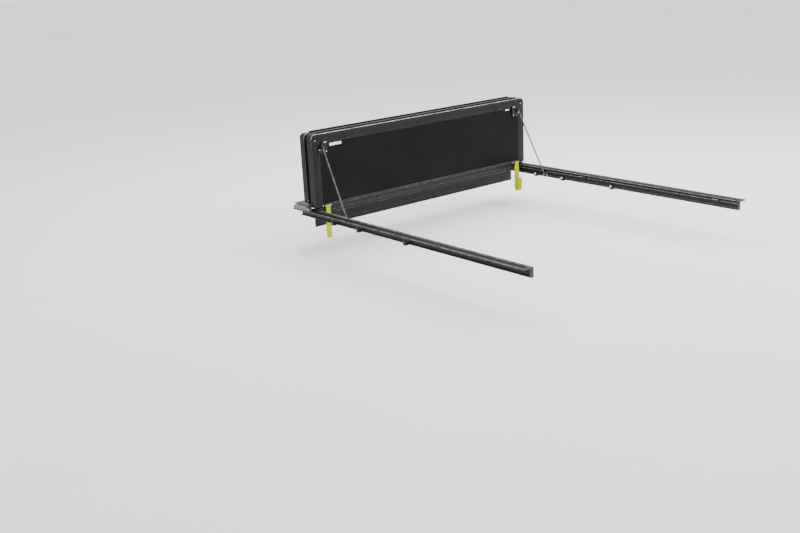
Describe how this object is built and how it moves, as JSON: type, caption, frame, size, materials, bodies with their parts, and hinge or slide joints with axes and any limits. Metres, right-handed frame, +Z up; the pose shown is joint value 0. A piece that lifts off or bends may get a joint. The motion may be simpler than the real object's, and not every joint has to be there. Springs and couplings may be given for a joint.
{
  "type": "folding tonneau cover",
  "caption": "Hard folding truck bed cover on side rails, folded and flipped up on prop rods, with header, latches, clamps and pull straps.",
  "frame": {"origin": "middle of the header's seat on the bulkhead, in the plane where the side rails rest on the bed", "axes": "+X to the truck's right, +Y towards the cab, +Z up"},
  "size_m": [1.664, 1.78, 0.5864],
  "materials": {
    "black_aluminium": "powder-coated black aluminium extrusion",
    "bare_aluminium": "bare cast aluminium",
    "steel": "zinc-plated steel",
    "dark_steel": "black zinc steel",
    "rubber": "matt EPDM rubber",
    "black_plastic": "glass-filled nylon",
    "top_skin": "textured black powder coat on aluminium sheet",
    "under_board": "textured black polypropylene skin",
    "webbing": "woven hi-vis polyester webbing"
  },
  "bodies": {
    "fixed_frame": {"side_rail_left": "black_aluminium", "rail_seal_left": "rubber", "header_bracket_left": "bare_aluminium", "rail_clamp_left_1": "dark_steel", "rail_clamp_left_2": "dark_steel", "rail_clamp_left_3": "dark_steel", "rod_receiver_left": "dark_steel", "striker_middle_left": "steel", "striker_rear_left": "steel", "side_rail_right": "black_aluminium", "rail_seal_right": "rubber", "header_bracket_right": "bare_aluminium", "rail_clamp_right_1": "dark_steel", "rail_clamp_right_2": "dark_steel", "rail_clamp_right_3": "dark_steel", "rod_receiver_right": "dark_steel", "striker_middle_right": "steel", "striker_rear_right": "steel", "header": "black_aluminium", "header_hinge_pin": "steel"},
    "front_panel": {"front_panel_frame": "black_aluminium", "front_panel_skin": "top_skin", "front_panel_board": "under_board", "front_fold_pin": "steel", "rod_bracket_left": "dark_steel", "rod_clip_left": "black_plastic", "strap_loop_left": "steel", "rod_bracket_right": "dark_steel", "rod_clip_right": "black_plastic", "strap_loop_right": "steel"},
    "second_panel": {"second_panel_frame": "black_aluminium", "second_panel_skin": "top_skin", "second_panel_board": "under_board", "middle_fold_pin": "steel", "middle_release_cable": "dark_steel", "middle_latch_housing_left": "black_plastic", "middle_latch_housing_right": "black_plastic"},
    "third_panel": {"third_panel_frame": "black_aluminium", "third_panel_skin": "top_skin", "third_panel_board": "under_board", "rear_fold_pin": "steel"},
    "rear_panel": {"rear_panel_frame": "black_aluminium", "rear_panel_skin": "top_skin", "rear_panel_board": "under_board", "rear_edge_seal": "rubber", "rear_release_cable": "dark_steel", "rear_latch_housing_left": "black_plastic", "rear_latch_housing_right": "black_plastic"},
    "rod_swivel_left": {"rod_knuckle_left": "dark_steel"},
    "rod_left": {"prop_rod_left": "steel"},
    "strap_left": {"pull_strap_left": "webbing"},
    "rod_swivel_right": {"rod_knuckle_right": "dark_steel"},
    "rod_right": {"prop_rod_right": "steel"},
    "strap_right": {"pull_strap_right": "webbing"},
    "middle_handle": {"middle_release_handle": "black_plastic"},
    "middle_bolt_left": {"middle_latch_bolt_left": "steel"},
    "middle_bolt_right": {"middle_latch_bolt_right": "steel"},
    "rear_handle": {"rear_release_handle": "black_plastic"},
    "rear_bolt_left": {"rear_latch_bolt_left": "steel"},
    "rear_bolt_right": {"rear_latch_bolt_right": "steel"}
  },
  "joints": [
    {"name": "header_hinge", "type": "hinge", "parent": "fixed_frame", "child": "front_panel", "pos_m": [0, -0.1595, 0.0281], "axis": [1, 0, 0], "range_deg": [0, 90]},
    {"name": "front_fold", "type": "hinge", "parent": "front_panel", "child": "second_panel", "pos_m": [0, -0.1595, 0.4281], "axis": [1, 0, 0], "range_deg": [0, 180]},
    {"name": "middle_fold", "type": "hinge", "parent": "second_panel", "child": "third_panel", "pos_m": [0, -0.127, 0.0321], "axis": [-1, 0, 0], "range_deg": [0, 180]},
    {"name": "rear_fold", "type": "hinge", "parent": "third_panel", "child": "rear_panel", "pos_m": [0, -0.0945, 0.4281], "axis": [1, 0, 0], "range_deg": [0, 180]},
    {"name": "rod_swivel_left", "type": "hinge", "parent": "front_panel", "child": "rod_swivel_left", "pos_m": [-0.745, -0.1965, 0.35], "axis": [0, -1, 0], "range_deg": [0, 98]},
    {"name": "rod_tilt_left", "type": "hinge", "parent": "rod_swivel_left", "child": "rod_left", "pos_m": [-0.745, -0.1965, 0.35], "axis": [1, 0, 0], "range_deg": [0, 28.6]},
    {"name": "rod_swivel_right", "type": "hinge", "parent": "front_panel", "child": "rod_swivel_right", "pos_m": [0.745, -0.1965, 0.35], "axis": [0, 1, 0], "range_deg": [0, 98]},
    {"name": "rod_tilt_right", "type": "hinge", "parent": "rod_swivel_right", "child": "rod_right", "pos_m": [0.745, -0.1965, 0.35], "axis": [1, 0, 0], "range_deg": [0, 28.6]},
    {"name": "strap_swing_left", "type": "hinge", "parent": "front_panel", "child": "strap_left", "pos_m": [-0.73, -0.18875, 0.029], "axis": [-1, 0, 0], "range_deg": [0, 90]},
    {"name": "strap_swing_right", "type": "hinge", "parent": "front_panel", "child": "strap_right", "pos_m": [0.73, -0.18875, 0.029], "axis": [-1, 0, 0], "range_deg": [0, 90]},
    {"name": "middle_handle_pull", "type": "slide", "parent": "second_panel", "child": "middle_handle", "axis": [0, 0, -1], "range_m": [0, 0.018], "stiffness_N_per_m": 150},
    {"name": "middle_bolt_slide_left", "type": "slide", "parent": "second_panel", "child": "middle_bolt_left", "axis": [1, 0, 0], "range_m": [0, 0.009]},
    {"name": "middle_bolt_slide_right", "type": "slide", "parent": "second_panel", "child": "middle_bolt_right", "axis": [-1, 0, 0], "range_m": [0, 0.009]},
    {"name": "rear_handle_pull", "type": "slide", "parent": "rear_panel", "child": "rear_handle", "axis": [0, 0, -1], "range_m": [0, 0.018], "stiffness_N_per_m": 150},
    {"name": "rear_bolt_slide_left", "type": "slide", "parent": "rear_panel", "child": "rear_bolt_left", "axis": [1, 0, 0], "range_m": [0, 0.009]},
    {"name": "rear_bolt_slide_right", "type": "slide", "parent": "rear_panel", "child": "rear_bolt_right", "axis": [-1, 0, 0], "range_m": [0, 0.009]}
  ],
  "couplings": [
    {"joint": "middle_fold", "follows": "front_fold", "ratio": 1},
    {"joint": "rod_tilt_left", "follows": "rod_swivel_left", "ratio": 0.29184},
    {"joint": "rod_tilt_right", "follows": "rod_swivel_right", "ratio": 0.29184},
    {"joint": "strap_swing_left", "follows": "header_hinge", "ratio": 1},
    {"joint": "strap_swing_right", "follows": "header_hinge", "ratio": 1},
    {"joint": "middle_bolt_slide_left", "follows": "middle_handle_pull", "ratio": 0.5},
    {"joint": "middle_bolt_slide_right", "follows": "middle_handle_pull", "ratio": 0.5},
    {"joint": "rear_bolt_slide_left", "follows": "rear_handle_pull", "ratio": 0.5},
    {"joint": "rear_bolt_slide_right", "follows": "rear_handle_pull", "ratio": 0.5}
  ]
}
